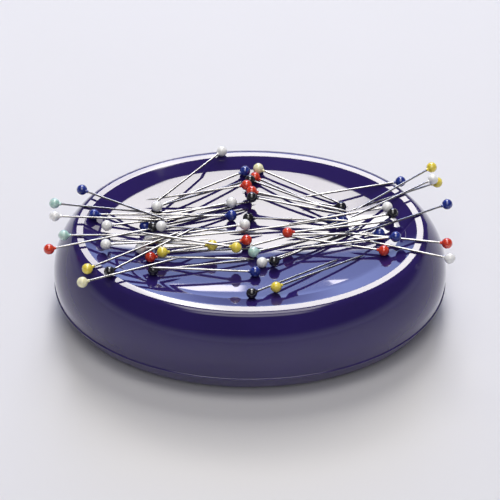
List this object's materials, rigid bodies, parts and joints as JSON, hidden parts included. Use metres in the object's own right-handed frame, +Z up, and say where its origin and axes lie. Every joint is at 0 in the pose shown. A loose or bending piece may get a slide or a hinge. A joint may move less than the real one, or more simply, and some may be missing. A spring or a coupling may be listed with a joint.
{
  "type": "magnetic pin bowl",
  "caption": "Oval magnetic dish for sewing pins, glossy shell over two hidden magnets on a non-slip base, filled with glass-headed pins that come away one by one.",
  "frame": {"origin": "middle of the anti-slip pad's underside, on the surface the bowl stands on", "axes": "+X along the bowl's long side, +Z up, +Y towards the back of the pictured view"},
  "size_m": [0.113, 0.076, 0.0329],
  "materials": {
    "shell_plastic": "high gloss",
    "base_plastic": "gloss",
    "pad_rubber": "fine matte",
    "magnet_ferrite": "fired ferrite, ground faces",
    "keeper_steel": "zinc plated",
    "foam": "closed-cell foam",
    "screw_steel": "zinc plated",
    "pin_steel": "nickel-plated, polished",
    "glass_black": "opaque polished glass",
    "glass_blue": "opaque polished glass",
    "glass_green": "opaque polished glass",
    "glass_ivory": "opaque polished glass",
    "glass_red": "opaque polished glass",
    "glass_white": "opaque polished glass",
    "glass_yellow": "opaque polished glass"
  },
  "bodies": {
    "bowl": {"upper_shell": "shell_plastic", "base_cover": "base_plastic", "anti_slip_pad": "pad_rubber", "magnet_left": "magnet_ferrite", "magnet_right": "magnet_ferrite", "keeper_plate": "keeper_steel", "foam_pad_left": "foam", "foam_pad_right": "foam", "base_screws": "screw_steel", "held_pin_shafts": "pin_steel", "held_black_heads": "glass_black", "held_blue_heads": "glass_blue", "held_green_heads": "glass_green", "held_ivory_heads": "glass_ivory", "held_red_heads": "glass_red", "held_white_heads": "glass_white", "held_yellow_heads": "glass_yellow"},
    "pin_01": {"pin_01_shaft": "pin_steel", "pin_01_head": "glass_green"},
    "pin_02": {"pin_02_shaft": "pin_steel", "pin_02_head": "glass_white"},
    "pin_03": {"pin_03_shaft": "pin_steel", "pin_03_head": "glass_red"},
    "pin_04": {"pin_04_shaft": "pin_steel", "pin_04_head": "glass_green"},
    "pin_05": {"pin_05_shaft": "pin_steel", "pin_05_head": "glass_blue"},
    "pin_06": {"pin_06_shaft": "pin_steel", "pin_06_head": "glass_yellow"},
    "pin_07": {"pin_07_shaft": "pin_steel", "pin_07_head": "glass_ivory"},
    "pin_08": {"pin_08_shaft": "pin_steel", "pin_08_head": "glass_white"},
    "pin_09": {"pin_09_shaft": "pin_steel", "pin_09_head": "glass_red"},
    "pin_10": {"pin_10_shaft": "pin_steel", "pin_10_head": "glass_white"},
    "pin_11": {"pin_11_shaft": "pin_steel", "pin_11_head": "glass_blue"},
    "pin_12": {"pin_12_shaft": "pin_steel", "pin_12_head": "glass_yellow"},
    "pin_13": {"pin_13_shaft": "pin_steel", "pin_13_head": "glass_white"},
    "pin_14": {"pin_14_shaft": "pin_steel", "pin_14_head": "glass_yellow"},
    "pin_15": {"pin_15_shaft": "pin_steel", "pin_15_head": "glass_yellow"},
    "pin_16": {"pin_16_shaft": "pin_steel", "pin_16_head": "glass_blue"},
    "pin_17": {"pin_17_shaft": "pin_steel", "pin_17_head": "glass_yellow"},
    "pin_18": {"pin_18_shaft": "pin_steel", "pin_18_head": "glass_red"},
    "pin_19": {"pin_19_shaft": "pin_steel", "pin_19_head": "glass_blue"}
  },
  "joints": [
    {"name": "pin_01_pull", "type": "slide", "parent": "bowl", "child": "pin_01", "axis": [-0.9995, 0.0174, -0.0269], "range_m": [0, 0.04]},
    {"name": "pin_02_pull", "type": "slide", "parent": "bowl", "child": "pin_02", "axis": [-0.9986, 0.0523, 0.0014], "range_m": [0, 0.04]},
    {"name": "pin_03_pull", "type": "slide", "parent": "bowl", "child": "pin_03", "axis": [-0.9698, -0.2418, -0.0326], "range_m": [0, 0.04]},
    {"name": "pin_04_pull", "type": "slide", "parent": "bowl", "child": "pin_04", "axis": [-0.9799, 0.1905, -0.0601], "range_m": [0, 0.04]},
    {"name": "pin_05_pull", "type": "slide", "parent": "bowl", "child": "pin_05", "axis": [-0.8735, 0.4842, -0.0497], "range_m": [0, 0.04]},
    {"name": "pin_06_pull", "type": "slide", "parent": "bowl", "child": "pin_06", "axis": [-0.8967, -0.4373, -0.0684], "range_m": [0, 0.04]},
    {"name": "pin_07_pull", "type": "slide", "parent": "bowl", "child": "pin_07", "axis": [-0.9259, -0.3741, 0.0519], "range_m": [0, 0.04]},
    {"name": "pin_08_lift", "type": "slide", "parent": "bowl", "child": "pin_08", "axis": [0, 0, 1], "range_m": [0, 0.04]},
    {"name": "pin_09_pull", "type": "slide", "parent": "bowl", "child": "pin_09", "axis": [0.9876, -0.1564, 0.0153], "range_m": [0, 0.04]},
    {"name": "pin_10_pull", "type": "slide", "parent": "bowl", "child": "pin_10", "axis": [0.9563, -0.2924, 0.0059], "range_m": [0, 0.04]},
    {"name": "pin_11_pull", "type": "slide", "parent": "bowl", "child": "pin_11", "axis": [0.8812, 0.4685, -0.063], "range_m": [0, 0.04]},
    {"name": "pin_12_pull", "type": "slide", "parent": "bowl", "child": "pin_12", "axis": [0.8897, 0.4533, -0.0535], "range_m": [0, 0.04]},
    {"name": "pin_13_lift", "type": "slide", "parent": "bowl", "child": "pin_13", "axis": [0, 0, 1], "range_m": [0, 0.04]},
    {"name": "pin_14_pull", "type": "slide", "parent": "bowl", "child": "pin_14", "axis": [0.7768, 0.6291, -0.0278], "range_m": [0, 0.04]},
    {"name": "pin_15_lift", "type": "slide", "parent": "bowl", "child": "pin_15", "axis": [0, 0, 1], "range_m": [0, 0.04]},
    {"name": "pin_16_lift", "type": "slide", "parent": "bowl", "child": "pin_16", "axis": [0, 0, 1], "range_m": [0, 0.04]},
    {"name": "pin_17_lift", "type": "slide", "parent": "bowl", "child": "pin_17", "axis": [0, 0, 1], "range_m": [0, 0.04]},
    {"name": "pin_18_lift", "type": "slide", "parent": "bowl", "child": "pin_18", "axis": [0, 0, 1], "range_m": [0, 0.04]},
    {"name": "pin_19_lift", "type": "slide", "parent": "bowl", "child": "pin_19", "axis": [0, 0, 1], "range_m": [0, 0.04]}
  ]
}
